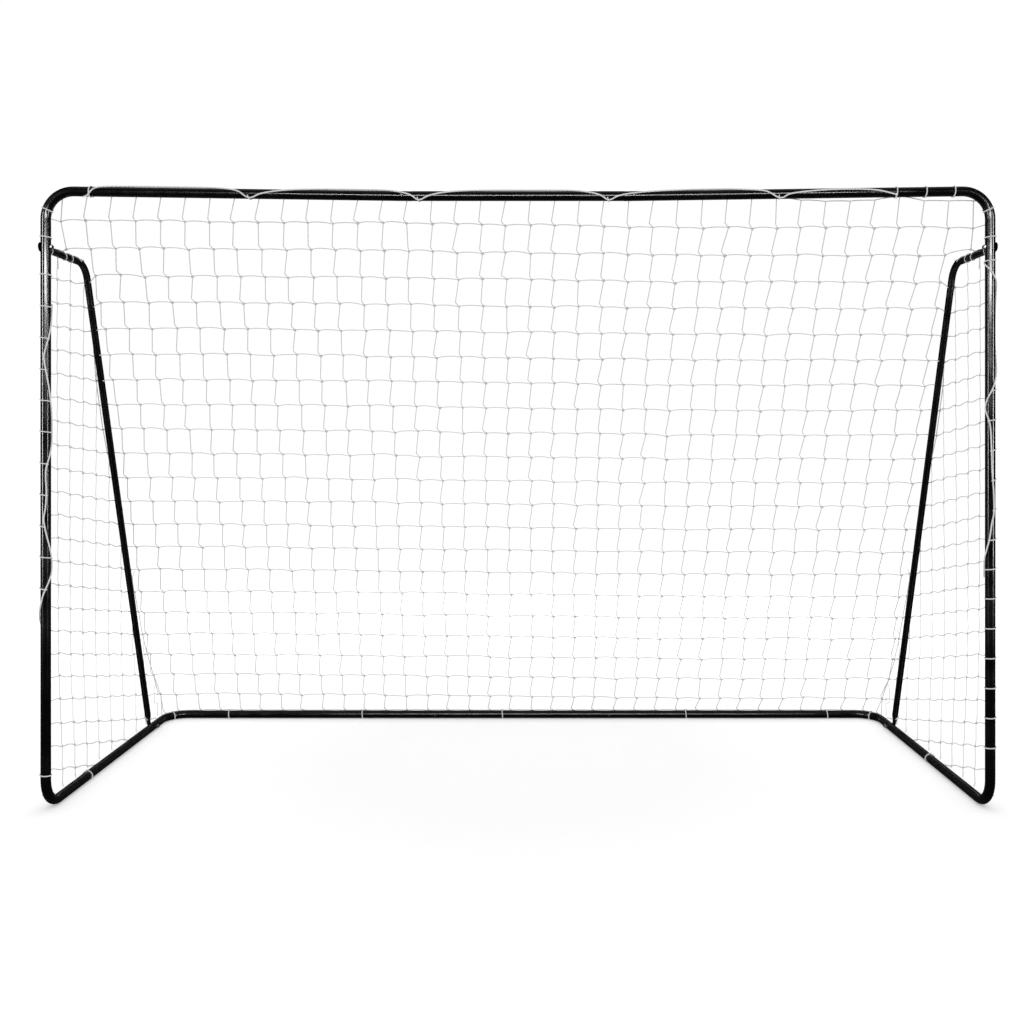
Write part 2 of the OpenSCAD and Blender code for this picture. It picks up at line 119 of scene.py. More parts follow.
# %% Lights: a big soft one overhead, and narrow strips that draw thin lines along the tubes
def soft_light(name, place, aim, size, watts):
    """A rectangular area light at place whose -Z axis points at aim."""
    from mathutils import Vector
    data = bpy.data.lights.new(name, "AREA")
    data.shape = "RECTANGLE"
    data.size, data.size_y = size
    data.energy = watts
    lamp = bpy.data.objects.new(name, data)
    bpy.context.scene.collection.objects.link(lamp)
    lamp.location = place
    lamp.rotation_euler = (Vector(aim) - Vector(place)).to_track_quat("-Z", "Y").to_euler()
    return lamp


soft_light("overhead", (0.0, 0.3, 4.2), (0.0, 0.2, 0.0), (5.0, 4.0), 18)
key = soft_light("back_key", (0.0, REAR_Y + 2.8, 1.5), (0.0, 0.2, 0.0), (4.2, 0.4), 18)
key.visible_camera = False
key.visible_glossy = False
strips = [soft_light("front_strip", (0.2, FRONT_Y - 3.4, 1.9), (0.0, 0.0, 0.9), (3.4, 0.3), 130),
          soft_light("left_strip", (-3.4, FRONT_Y - 1.9, 1.3), (0.0, 0.0, 0.9), (0.34, 2.0), 90),
          soft_light("right_strip", (3.4, FRONT_Y - 1.9, 1.3), (0.0, 0.0, 0.9), (0.34, 2.0), 90)]
for strip in strips:
    strip.visible_diffuse = False


# %% Mesh helper
def make_piece(name, points, faces, uv, finish, slot="net_twine"):
    """A smooth mesh from an (n, 3) array of points and a list of index arrays, each (m, corners).
    uv holds one row per face corner, in the order of the faces."""
    mesh = bpy.data.meshes.new(name)
    mesh.vertices.add(len(points))
    mesh.vertices.foreach_set("co", np.ascontiguousarray(points, dtype=np.float32).ravel())
    corners = np.concatenate([f.ravel() for f in faces]).astype(np.int32)
    counts = np.concatenate([np.full(len(f), f.shape[1]) for f in faces])
    starts = np.concatenate([[0], np.cumsum(counts)[:-1]]).astype(np.int32)
    mesh.loops.add(len(corners))
    mesh.loops.foreach_set("vertex_index", corners)
    mesh.polygons.add(len(counts))
    mesh.polygons.foreach_set("loop_start", starts)
    mesh.update(calc_edges=True)
    mesh.polygons.foreach_set("use_smooth", np.ones(len(counts), dtype=bool))
    layer = mesh.uv_layers.new(name="along")
    layer.data.foreach_set("uv", np.ascontiguousarray(uv, dtype=np.float32).ravel())
    mesh.validate()
    mesh.materials.append(finish)
    piece = bpy.data.objects.new(name, mesh)
    bpy.context.scene.collection.objects.link(piece)
    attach(piece, "frame")
    print(name, len(points), "points", len(counts), "faces")
    return piece


# %% Floor
def make_floor(half):
    """A flat square of side 2 * half at the ground, facing up."""
    data = bpy.data.meshes.new("floor")
    data.from_pydata([(-half, -half, 0), (half, -half, 0), (half, half, 0), (-half, half, 0)], [],
                     [(0, 1, 2, 3)])
    floor = bpy.data.objects.new("floor", data)
    bpy.context.scene.collection.objects.link(floor)
    floor.visible_glossy = False
    floor.visible_diffuse = False
    return floor


floor = make_floor(60)

# %% [markdown]
# ## Finishes
# Each finish is one material, and effects that several share are node groups: a fine grain, a pattern
# of handling marks and dust, and the twist of twisted cord. Paint reads Object coordinates, because a
# tube has no unwrapping. Cord reads its own UV map, where u is the length along it in metres and v
# goes once round it, so the twist follows every turn of the cord.

# %% Node helpers
def add_node(tree, kind, settings=None, **values):
    """A node of that kind, with its settings and with the named inputs set."""
    node = tree.nodes.new(kind)
    for key, value in (settings or {}).items():
        setattr(node, key, value)
    for key, value in values.items():
        node.inputs[key.replace("_", " ")].default_value = value
    return node


def start_group(name, inputs, outputs):
    """An empty shader node group. inputs are (name, type, value) and outputs are (name, type)."""
    tree = bpy.data.node_groups.new(name, "ShaderNodeTree")
    for title, kind, value in inputs:
        socket = tree.interface.new_socket(title, in_out="INPUT", socket_type=kind)
        if value is not None:
            socket.default_value = value
    for title, kind in outputs:
        tree.interface.new_socket(title, in_out="OUTPUT", socket_type=kind)
    return tree, tree.nodes.new("NodeGroupInput"), tree.nodes.new("NodeGroupOutput")


def wire(tree, *links):
    """Makes each link, given as (node, its output, next node, its input)."""
    for source, output, target, socket in links:
        tree.links.new(source.outputs[output], target.inputs[socket])


FLOAT = "NodeSocketFloat"
VECTOR = "NodeSocketVector"

# %% Group: fine grain and broad patches, from two sizes of noise
grain_tree, g_in, g_out = start_group(
    "fine_grain",
    [("Vector", VECTOR, None), ("Scale", FLOAT, 900.0)],
    [("Height", FLOAT), ("Patches", FLOAT)])
fine = add_node(grain_tree, "ShaderNodeTexNoise", Detail=2.0)
broad = add_node(grain_tree, "ShaderNodeTexNoise", Scale=14.0, Detail=4.0)
wire(grain_tree, (g_in, "Vector", fine, "Vector"), (g_in, "Vector", broad, "Vector"),
     (g_in, "Scale", fine, "Scale"), (fine, "Fac", g_out, "Height"), (broad, "Fac", g_out, "Patches"))
print("group", grain_tree.name)

# %% Group: marks of handling, a thin scratch mask and a soft dust mask
marks_tree, m_in, m_out = start_group(
    "handling_marks",
    [("Vector", VECTOR, None), ("Scratch Size", FLOAT, 60.0), ("Dust Size", FLOAT, 9.0)],
    [("Scratches", FLOAT), ("Dust", FLOAT)])
streak = add_node(marks_tree, "ShaderNodeTexVoronoi", {"feature": "DISTANCE_TO_EDGE"})
warp = add_node(marks_tree, "ShaderNodeTexNoise", Scale=7.0, Detail=3.0)
bend_in = add_node(marks_tree, "ShaderNodeVectorMath", {"operation": "ADD"})
thin = add_node(marks_tree, "ShaderNodeMapRange", From_Min=0.0, From_Max=0.018, To_Min=1.0,
                To_Max=0.0)
place = add_node(marks_tree, "ShaderNodeTexNoise", Scale=11.0, Detail=2.0)
rare = add_node(marks_tree, "ShaderNodeMapRange", From_Min=0.6, From_Max=0.68)
both = add_node(marks_tree, "ShaderNodeMath", {"operation": "MULTIPLY"})
dust = add_node(marks_tree, "ShaderNodeTexNoise", Detail=6.0)
dust_mask = add_node(marks_tree, "ShaderNodeMapRange", From_Min=0.45, From_Max=0.8)
wire(marks_tree, (m_in, "Vector", warp, "Vector"), (m_in, "Vector", bend_in, 0),
     (warp, "Color", bend_in, 1), (bend_in, 0, streak, "Vector"),
     (m_in, "Scratch Size", streak, "Scale"), (streak, "Distance", thin, "Value"),
     (m_in, "Vector", place, "Vector"), (place, "Fac", rare, "Value"), (thin, 0, both, 0),
     (rare, 0, both, 1), (both, 0, m_out, "Scratches"), (m_in, "Vector", dust, "Vector"),
     (m_in, "Dust Size", dust, "Scale"), (dust, "Fac", dust_mask, "Value"),
     (dust_mask, 0, m_out, "Dust"))
print("group", marks_tree.name)

# %% Group: twisted strands, |sin(pi * (strands * v + u / lay length))| over the cord's own map
twist_tree, t_in, t_out = start_group(
    "twisted_strands",
    [("UV", VECTOR, None), ("Strands", FLOAT, 3.0), ("Turns per Metre", FLOAT, 110.0),
     ("Fuzz", FLOAT, 0.25)],
    [("Height", FLOAT), ("Shade", FLOAT)])
split = add_node(twist_tree, "ShaderNodeSeparateXYZ")
along = add_node(twist_tree, "ShaderNodeMath", {"operation": "MULTIPLY"})
around = add_node(twist_tree, "ShaderNodeMath", {"operation": "MULTIPLY"})
total = add_node(twist_tree, "ShaderNodeMath", {"operation": "ADD"})
half_turn = add_node(twist_tree, "ShaderNodeMath", {"operation": "MULTIPLY"})
half_turn.inputs[1].default_value = np.pi
wave = add_node(twist_tree, "ShaderNodeMath", {"operation": "SINE"})
crest = add_node(twist_tree, "ShaderNodeMath", {"operation": "ABSOLUTE"})
fibre_place = add_node(twist_tree, "ShaderNodeVectorMath", {"operation": "MULTIPLY"})
fibre_place.inputs[1].default_value = (2600.0, 22.0, 1.0)
fibre = add_node(twist_tree, "ShaderNodeTexNoise", Scale=1.0, Detail=2.0)
fuzz = add_node(twist_tree, "ShaderNodeMath", {"operation": "MULTIPLY"})
height = add_node(twist_tree, "ShaderNodeMath", {"operation": "ADD"})
wire(twist_tree, (t_in, "UV", split, 0), (split, "X", along, 0),
     (t_in, "Turns per Metre", along, 1), (split, "Y", around, 0), (t_in, "Strands", around, 1),
     (along, 0, total, 0), (around, 0, total, 1), (total, 0, half_turn, 0),
     (half_turn, 0, wave, 0), (wave, 0, crest, 0), (t_in, "UV", fibre_place, 0),
     (fibre_place, 0, fibre, "Vector"), (fibre, "Fac", fuzz, 0), (t_in, "Fuzz", fuzz, 1),
     (crest, 0, height, 0), (fuzz, 0, height, 1), (height, 0, t_out, "Height"),
     (crest, 0, t_out, "Shade"))
print("group", twist_tree.name)


# %% Material helpers
def start_material(name):
    """A material with an empty Principled shader, its tree and its link function."""
    material = bpy.data.materials.new(name)
    material.use_nodes = True
    tree = material.node_tree
    return material, tree, tree.nodes["Principled BSDF"], tree.links.new


def place_group(tree, group, vector, **values):
    """A group node fed by that vector socket, with its named values set."""
    node = tree.nodes.new("ShaderNodeGroup")
    node.node_tree = group
    tree.links.new(vector, node.inputs[0])
    for key, value in values.items():
        node.inputs[key.replace("_", " ")].default_value = value
    return node


def bump_from(tree, height, strength, distance, shader):
    """Feeds a height through a Bump node into the shader's normal."""
    node = add_node(tree, "ShaderNodeBump", Strength=strength, Distance=distance)
    tree.links.new(height, node.inputs["Height"])
    tree.links.new(node.outputs[0], shader.inputs["Normal"])
    return node


def blend_colour(tree, factor, first, second):
    """The colour that goes from first to second as factor goes from 0 to 1."""
    node = tree.nodes.new("ShaderNodeMix")
    node.data_type = "RGBA"
    node.inputs["A"].default_value = (*first, 1)
    node.inputs["B"].default_value = (*second, 1)
    tree.links.new(factor, node.inputs["Factor"])
    return node


def blend_number(tree, factor, low, high, span=(0.0, 1.0)):
    """A number that goes from low to high as factor crosses span."""
    node = add_node(tree, "ShaderNodeMapRange", From_Min=span[0], From_Max=span[1],
                    To_Min=low, To_Max=high)
    tree.links.new(factor, node.inputs["Value"])
    return node


# %% [markdown]
# ## Black powder coat
# Powder coat is a plastic skin baked onto the steel. It is deep black and shiny, but never as flat as
# glass: melted powder leaves a fine orange peel, and handling leaves a few hair scratches and a little
# dust. A rougher base under a thin clear coat gives both the soft sheen and the sharp white lines.

# %% Paint for tubes and for bolt heads
def powder_coat(name, colour, roughness, coat, dust_amount):
    """Black paint: grain height as orange peel, patches and dust in the roughness, faint dust colour."""
    material, tree, shader, join = start_material(name)
    coords = tree.nodes.new("ShaderNodeTexCoord").outputs["Object"]
    grain = place_group(tree, grain_tree, coords, Scale=620.0)
    marks = place_group(tree, marks_tree, coords, Scratch_Size=46.0, Dust_Size=7.0)
    grey = tuple(min(1.0, c + dust_amount) for c in colour)
    tint = blend_colour(tree, marks.outputs["Dust"], colour, grey)
    scratched = tree.nodes.new("ShaderNodeMix")
    scratched.data_type = "RGBA"
    scratched.inputs["B"].default_value = (0.012, 0.012, 0.013, 1)
    join(marks.outputs["Scratches"], scratched.inputs["Factor"])
    join(tint.outputs["Result"], scratched.inputs["A"])
    join(scratched.outputs["Result"], shader.inputs["Base Color"])
    rough = blend_number(tree, grain.outputs["Patches"], roughness - 0.05, roughness + 0.09, (0.3,
                                                                                              0.7))
    rougher = add_node(tree, "ShaderNodeMath", {"operation": "MULTIPLY_ADD"})
    rougher.inputs[1].default_value = 0.1
    join(marks.outputs["Dust"], rougher.inputs[0])
    join(rough.outputs[0], rougher.inputs[2])
    join(rougher.outputs[0], shader.inputs["Roughness"])
    shader.inputs["Coat Weight"].default_value = coat
    shader.inputs["Coat Roughness"].default_value = 0.05
    shader.inputs["Coat IOR"].default_value = 1.3
    shader.inputs["Specular IOR Level"].default_value = 0.4
    bump_from(tree, grain.outputs["Height"], 0.05, 0.00004, shader)
    return material


tube_paint = powder_coat("powder_coat_black", (0.001, 0.001, 0.0012), 0.16, 0.3, 0.0015)
bolt_paint = powder_coat("bolt_black", (0.004, 0.004, 0.0045), 0.36, 0.12, 0.006)


# %% [markdown]
# ## Bare hardware
# Nuts are zinc plated, which leaves pale, faintly cloudy patches. The snap buttons are steel worn
# bright on top and dark round the sides, and their springs are plain rolled spring steel.

# %% Zinc, button steel and spring steel
def bare_steel(name, colour, tarnish, roughness, scale):
    """Metal whose colour and roughness follow broad patches, with fine grain as its bump."""
    material, tree, shader, join = start_material(name)
    coords = tree.nodes.new("ShaderNodeTexCoord").outputs["Object"]
    grain = place_group(tree, grain_tree, coords, Scale=scale)
    marks = place_group(tree, marks_tree, coords, Scratch_Size=240.0, Dust_Size=60.0)
    tint = blend_colour(tree, marks.outputs["Dust"], colour, tarnish)
    join(tint.outputs["Result"], shader.inputs["Base Color"])
    rough = blend_number(tree, grain.outputs["Patches"], roughness - 0.08, roughness + 0.14, (0.3,
                                                                                              0.7))
    join(rough.outputs[0], shader.inputs["Roughness"])
    shader.inputs["Metallic"].default_value = 1.0
    bump_from(tree, grain.outputs["Height"], 0.12, 0.0003, shader)
    return material


nut_zinc = bare_steel("zinc_plate", (0.62, 0.63, 0.65), (0.42, 0.42, 0.4), 0.34, 1500.0)
button_steel = bare_steel("button_steel", (0.11, 0.11, 0.115), (0.05, 0.05, 0.05), 0.38, 1800.0)
spring_steel = bare_steel("spring_steel", (0.3, 0.31, 0.33), (0.2, 0.17, 0.14), 0.3, 1400.0)


# %% [markdown]
# ## Twine and rope
# The net is twisted polyethylene twine: pale grey-white, a little see-through at its fuzzy edge, and
# duller where it was pulled through the frame. The edge rope is the same stuff, thicker and whiter.

# %% Cord material
def twisted_cord(name, bright, shadow, turns, strength, depth):
    """Cord: the strands' crests are bright and their grooves shadowed, and the same wave is the bump."""
    material, tree, shader, join = start_material(name)
    uv = tree.nodes.new("ShaderNodeTexCoord").outputs["UV"]
    coords = tree.nodes.new("ShaderNodeTexCoord").outputs["Object"]
    strands = place_group(tree, twist_tree, uv, Turns_per_Metre=turns)
    marks = place_group(tree, marks_tree, coords, Scratch_Size=30.0, Dust_Size=5.0)
    shade = blend_number(tree, strands.outputs["Shade"], 0.0, 1.0, (0.0, 0.75))
    tint = blend_colour(tree, shade.outputs[0], shadow, bright)
    soiled = tree.nodes.new("ShaderNodeMix")
    soiled.data_type = "RGBA"
    soiled.inputs["B"].default_value = (*[0.86 * c for c in shadow], 1)
    soil = blend_number(tree, marks.outputs["Dust"], 0.0, 0.35)
    join(soil.outputs[0], soiled.inputs["Factor"])
    join(tint.outputs["Result"], soiled.inputs["A"])
    join(soiled.outputs["Result"], shader.inputs["Base Color"])
    rough = blend_number(tree, strands.outputs["Height"], 0.78, 0.58)
    join(rough.outputs[0], shader.inputs["Roughness"])
    shader.inputs["Sheen Weight"].default_value = 0.15
    bump_from(tree, strands.outputs["Height"], strength, depth, shader)
    return material


net_twine = twisted_cord("net_twine", (0.9, 0.9, 0.9), (0.76, 0.76, 0.76), 150.0, 0.7, 0.0006)
# Knots: the same twine coloured darker, as painted shade for the tight turns inside each knot.
shaded_knot_twine = twisted_cord("shaded_knot_twine", (0.76, 0.76, 0.76), (0.6, 0.6, 0.6), 260.0, 0.8, 0.0006)
# Side-net uprights: the same twine coloured lighter, as painted light.
lit_fall_twine = twisted_cord("lit_fall_twine", (0.94, 0.94, 0.94), (0.84, 0.84, 0.84), 150.0, 0.7, 0.0006)
edge_rope = twisted_cord("edge_rope", (0.95, 0.95, 0.94), (0.74, 0.74, 0.73), 95.0, 0.9, 0.0008)

# %% Floor finish: matte white with the faintest cloudiness
floor_white, tree, shader, join = start_material("floor_white")
coords = tree.nodes.new("ShaderNodeTexCoord").outputs["Object"]
grain = place_group(tree, grain_tree, coords, Scale=40.0)
tint = blend_colour(tree, grain.outputs["Patches"], (0.93, 0.93, 0.93), (0.96, 0.96, 0.96))
join(tint.outputs["Result"], shader.inputs["Base Color"])
shader.inputs["Roughness"].default_value = 0.9
shader.inputs["Specular IOR Level"].default_value = 0.1
shader.inputs["Emission Color"].default_value = (1, 1, 1, 1)
far = add_node(tree, "ShaderNodeVectorMath", {"operation": "LENGTH"})
join(coords, far.inputs[0])
lift = blend_number(tree, far.outputs["Value"], 0.2, 0.38, (0.5, 2.0))
join(lift.outputs[0], shader.inputs["Emission Strength"])
floor.data.materials.append(floor_white)


# %% Give every steel node its finish
def finish_nodes(material, words):
    """Puts one material on every node whose name holds one of the words."""
    done = [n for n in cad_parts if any(w in n for w in words)]
    for n in done:
        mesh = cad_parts[n].data
        mesh.materials.clear()
        mesh.materials.append(material)
    print(material.name, "on", len(done), "nodes")


finish_nodes(tube_paint, ["_tube", "corner", "post_left", "post_right", "side_rail", "brace_left",
                          "brace_right"])
finish_nodes(bolt_paint, ["brace_bolts"])
finish_nodes(nut_zinc, ["brace_nuts"])
finish_nodes(button_steel, ["_button_"])
finish_nodes(spring_steel, ["_spring_"])
finish_nodes(net_twine, ["net_"])
finish_nodes(edge_rope, ["rope", "loops", "ties"])

# %% [markdown]
# ## The twine as a swept tube
# A net is thousands of short twine segments. Cloth simulation would have to hold each one, so instead
# every row and every upright is one long centreline, and a small polygon is swept along all of them
# at once. The rings are built from the line's direction and from the way its sheet faces.

# %% Sweep many centrelines at once
def unit(v):
    """v divided by its length, along the last axis."""
    return v / np.maximum(np.linalg.norm(v, axis=-1, keepdims=True), 1e-9)


def ring_axes(lines, facing):
    """Two axes square to each line: one made from the facing direction, one square to both."""
    run = unit(np.gradient(lines, axis=1))
    side = unit(np.cross(run, np.broadcast_to(facing, lines.shape)))
    return side, np.cross(side, run)


def sweep(lines, radius, sides, facing, lobes=0, lay=1.0):
    """Tubes round lines (n, rings, 3): point = line + r * (cos a * side + sin a * up), with
    r = radius * (1 + 0.16 * |cos(lobes / 2 * (a - 2 pi u / lay))|) for a stranded rope.
    Gives points, faces and a map with u in metres along and v once round."""
    n, rings, _ = lines.shape
    side, up = ring_axes(lines, facing)
    step = np.linalg.norm(np.diff(lines, axis=1), axis=-1)
    u = np.concatenate([np.zeros((n, 1)), np.cumsum(step, axis=1)], axis=1)
    angle = 2 * np.pi * np.arange(sides) / sides
    swell = np.ones((n, rings, sides))
    if lobes:
        turn = angle[None, None, :] - 2 * np.pi * u[:, :, None] / lay
        swell += 0.16 * np.abs(np.cos(lobes / 2 * turn)) - 0.08
    spoke = (np.cos(angle)[None, None, :, None] * side[:, :, None, :]
             + np.sin(angle)[None, None, :, None] * up[:, :, None, :])
    points = lines[:, :, None, :] + np.asarray(radius) * swell[..., None] * spoke
    base = (np.arange(n)[:, None] * rings + np.arange(rings - 1)) * sides
    k = np.arange(sides)
    nxt = (k + 1) % sides
    b = base[..., None]
    walls = np.stack([b + k, b + nxt, b + sides + nxt, b + sides + k], -1).reshape(-1, 4)
    corners = ((slice(None, -1), k), (slice(None, -1), k + 1), (slice(1, None), k + 1),
               (slice(1, None), k))
    wall_uv = np.stack([np.stack(np.broadcast_arrays(u[:, ring, None], turn / sides), -1)
                        for ring, turn in corners], -2).reshape(-1, 2)
    first = np.arange(n)[:, None] * rings * sides + np.arange(sides)[::-1]
    last = (np.arange(n)[:, None] * rings + rings - 1) * sides + np.arange(sides)
    caps = np.concatenate([first, last])
    cap_uv = np.zeros((caps.size, 2))
    return points.reshape(-1, 3), [walls, caps], np.concatenate([wall_uv, cap_uv])


def join_parts(parts):
    """Stacks several (points, [quads, caps], uv) into one; quads stay first and caps last."""
    points = np.concatenate([p[0] for p in parts])
    shift = np.concatenate([[0], np.cumsum([len(p[0]) for p in parts])[:-1]])
    walls = np.concatenate([p[1][0] + s for p, s in zip(parts, shift)])
    caps = {}
    cap_uv = {}
    wall_uv = []
    for p, s in zip(parts, shift):
        quads = p[1][0]
        wall_uv.append(p[2][:quads.size])
        size = p[1][1].shape[1]
        caps.setdefault(size, []).append(p[1][1] + s)
        cap_uv.setdefault(size, []).append(p[2][quads.size:])
    faces = [walls] + [np.concatenate(caps[c]) for c in caps]
    uv = np.concatenate(wall_uv + [np.concatenate(cap_uv[c]) for c in caps])
    return points, faces, uv


# %% [markdown]
# ## Knots
# Where a row and an upright cross, the twine is tied in a tight little knot, fatter than the twine and
# slightly lopsided. One lumpy pebble shape of a few dozen faces is enough, set down at every crossing
# with its own turn and size, because nobody counts the turns of a knot this small.

# %% Knot shape, set down at many places
def knots(places, facing, size, seed):
    """Pebbles: radius = size * (1 + 0.22 cos(2 a + b) ) on a sphere of 8 by 4, longer across than deep,
    each turned by its own angle in the sheet's plane."""
    draw = np.random.RandomState(seed)
    around, down = 8, 5
    a = 2 * np.pi * np.arange(around) / around
    b = np.pi * (np.arange(1, down)) / down
    aa, bb = np.meshgrid(a, b)
    swell = 1 + 0.22 * np.cos(2 * aa + bb)
    ball = np.stack([1.25 * swell * np.sin(bb) * np.cos(aa), 0.85 * swell * np.sin(bb) * np.sin(aa),
                     1.05 * np.cos(bb)], -1).reshape(-1, 3)
    ball = np.concatenate([ball, [[0, 0, 1.05], [0, 0, -1.05]]])
    n = len(places)
    out = unit(np.broadcast_to(np.asarray(facing, float), (n, 3)))
    across = unit(np.cross(out, [0.0, 0.0, 1.0]))
    upward = np.cross(across, out)
    turn = 0.6 + 0.25 * draw.randn(n)
    x_axis = np.cos(turn)[:, None] * across + np.sin(turn)[:, None] * upward
    z_axis = -np.sin(turn)[:, None] * across + np.cos(turn)[:, None] * upward
    scale = size * (1 + 0.1 * draw.randn(n))
    local = (ball[None, :, 0:1] * x_axis[:, None] + ball[None, :, 1:2] * out[:, None]
             + ball[None, :, 2:3] * z_axis[:, None])
    points = places[:, None] + scale[:, None, None] * local
    count = len(ball)
    base = (np.arange(n) * count)[:, None]
    k = np.arange(around)
    nxt = (k + 1) % around
    quads = [np.stack([base + r * around + k, base + (r + 1) * around + k,
                       base + (r + 1) * around + nxt, base + r * around + nxt], -1).reshape(-1, 4)
             for r in range(down - 2)]
    lid = np.stack([base + 0 * k + count - 2, base + k, base + nxt], -1).reshape(-1, 3)
    low = (down - 2) * around
    bed = np.stack([base + 0 * k + count - 1, base + low + nxt, base + low + k], -1).reshape(-1, 3)
    quads = np.concatenate(quads)
    tris = np.concatenate([lid, bed])
    rows = points.reshape(-1, 3)
    corner = np.concatenate([quads.ravel(), tris.ravel()])
    uv = np.stack([rows[corner, 0] * 0.6 + rows[corner, 2], (corner % around) / around], -1)
    return rows, [quads, tris], uv


# %% [markdown]
# ## Keeping twine off the steel
# Twine rests on a tube, it never runs through one. Each straight stretch of tube is a capsule, and any
# point of a centreline that falls inside one is moved straight out to its surface, one twine radius up.

# %% Push points out of the tubes
def brace_line(side):
    """The brace's arm, knee and slope as points of its centreline."""
    foot = np.array([side * BRACE_X, FRONT_Y + FOOT_DEPTH, GROUND_Z])
    knee = np.array([side * BRACE_X, FRONT_Y + KNEE_DEPTH, BRACE_TOP_Z])
    down = unit(foot - knee)
    start = np.array([side * BRACE_X, FRONT_Y, BRACE_TOP_Z])
    return np.array([start, knee + [0, -0.043, 0], knee + [0, -0.0125, -0.0075], knee + 0.043 * down,
                     foot])


def chain(points, radius):
    """Each pair of neighbouring points as one capsule (start, end, radius)."""
    return [(a, b, radius) for a, b in zip(points[:-1], points[1:])]


def arc(centre, start, end, turn, count=7):
    """Points of a quarter bend: centre + cos t * start + sin t * end, for t from 0 to turn."""
    t = np.linspace(0, turn, count)[:, None]
    return centre + np.cos(t) * start + np.sin(t) * end


def bar_height(x):
    """Height of the crossbar's centreline: level over the posts, sloping to the middle tube."""
    return np.interp(np.abs(x), [JOINT_X, BEND_X], [MID_Z, TOP_Z])


CAPSULES = chain(np.array([[x, FRONT_Y, bar_height(x)] for x in (-BEND_X, -JOINT_X, JOINT_X,
                                                                 BEND_X)]),
                 TUBE_R)
CAPSULES += chain(np.array([[-BEND_X, REAR_Y, GROUND_Z], [BEND_X, REAR_Y, GROUND_Z]]), TUBE_R)
for s in (-1, 1):
    top = arc(np.array([s * BEND_X, FRONT_Y, TOP_Z - BEND_R]), np.array([0, 0, BEND_R]),
              np.array([s * BEND_R, 0, 0]), np.pi / 2)
    foot = arc(np.array([s * POST_X, FRONT_Y + BEND_R, GROUND_Z + BEND_R]), np.array([0, -BEND_R, 0]),
               np.array([0, 0, -BEND_R]), np.pi / 2)
    rear = arc(np.array([s * BEND_X, REAR_Y - BEND_R, GROUND_Z]), np.array([s * BEND_R, 0, 0]),
               np.array([0, BEND_R, 0]), np.pi / 2)
    CAPSULES += chain(np.concatenate([top, foot, rear]), TUBE_R)
    CAPSULES += chain(brace_line(s), BRACE_R)
print(len(CAPSULES), "capsules")


def off_the_steel(points, gap):
    """points moved out to radius + gap from every capsule they fall inside."""
    shape = points.shape
    p = points.reshape(-1, 3).copy()
    for _ in range(2):
        for a, b, radius in CAPSULES:
            ab = b - a
            t = np.clip(((p - a) @ ab) / (ab @ ab), 0, 1)
            away = p - (a + t[:, None] * ab)
            far = np.linalg.norm(away, axis=1)
            inside = far < radius + gap
            p[inside] += (away[inside] / np.maximum(far[inside], 1e-6)[:, None]
                          * (radius + gap - far[inside])[:, None])
    return p.reshape(shape)

# %% [markdown]
# ## The shape the net hangs in
# A net sewn a little longer than the straight way from crossbar to ground bar hangs back in a shallow
# belly. It is one curve: a chord from bar to bar, pushed outward by a bump that is fullest in its upper
# half. The rows of knots are counted off along that curve, so that every mesh keeps its real height.

# %% Belly of the back net
ROWS, COLUMNS, PITCH = 22, 38, 0.0633
NET_HALF_WIDTH = 1.241
JITTER = 0.0014
KNOT_SIZE, SIDE_KNOT_SIZE = 0.0034, 0.0031
CHORD_TOP = np.array([0.0, TOP_Z - 0.0055])
CHORD_FOOT = np.array([DEPTH - 0.005, GROUND_Z + 0.0055])
BELLY_OUT = np.array([0.8715, 0.49])


def belly(share):
    """Depth and height along the back net: chord + outward * 0.2744 u (1 - u) (1 + 1.44 (0.5 - u)),
    with u found so that equal shares are equal lengths of net."""
    u = np.linspace(0, 1, 600)
    push = 0.2744 * u * (1 - u) * (1 + 1.44 * (0.5 - u))
    curve = CHORD_TOP + u[:, None] * (CHORD_FOOT - CHORD_TOP) + push[:, None] * BELLY_OUT
    run = np.concatenate([[0], np.cumsum(np.linalg.norm(np.diff(curve, axis=0), axis=1))])
    at = np.asarray(share) * run[-1]
    return np.interp(at, run, curve[:, 0]), np.interp(at, run, curve[:, 1]), run[-1]


def ease(value, start, end):
    """0 before start, 1 after end, 3 t^2 - 2 t^3 between them."""
    t = np.clip((value - start) / (end - start), 0, 1)
    return t * t * (3 - 2 * t)


NET_LENGTH = belly(0.0)[2]
print("net runs", round(float(NET_LENGTH), 3), "m from bar to bar, one mesh is",
      round(float(NET_LENGTH) / ROWS, 4), "m high and", PITCH, "m wide")


def brace_depth(z):
    """Depth of the brace's centreline at height z: level arm, rounded knee, straight slope."""
    slope = KNEE_DEPTH + (BRACE_TOP_Z - z) * (FOOT_DEPTH - KNEE_DEPTH) / (BRACE_TOP_Z - GROUND_Z)
    return np.where(z > BRACE_TOP_Z, 0.25, slope)


# %% Knots of the back net
draw = np.random.RandomState(7)
SAGS = np.array([0.199, 0.389, 0.602, 0.794, 0.925]) * 2 * BEND_X - BEND_X
across = (np.arange(COLUMNS) - COLUMNS // 2 + 0.5) * PITCH
row = np.arange(ROWS + 1)
column_grid, row_grid = np.meshgrid(across, row)
drop = 0.019 * ease(column_grid, -1.0, 0.7) * np.where(row_grid < ROWS, 1, 0) / NET_LENGTH
depth, rise, _ = belly(np.clip(row_grid / ROWS + drop, 0, 1))
spread = 1 + 0.12 * (row_grid / ROWS) ** 0.6
knot = np.stack([column_grid * spread, depth, rise], -1)

hang = 0.0135 * ease(column_grid[0], 0.58, 0.8)
hang = hang * (1 - np.exp(-((column_grid[0][:, None] - SAGS) / 0.035) ** 2).max(axis=1))
knot[0, :, 1] = TUBE_R + 0.002
knot[0, :, 2] = np.minimum(bar_height(column_grid[0]) - 0.004, TOP_Z - 0.0075) - hang
knot[ROWS, :, 1:] = [DEPTH + 0.006, GROUND_Z + 0.012]
jitter = JITTER * draw.randn(*knot.shape)
jitter[[0, ROWS]] = 0
knot += jitter

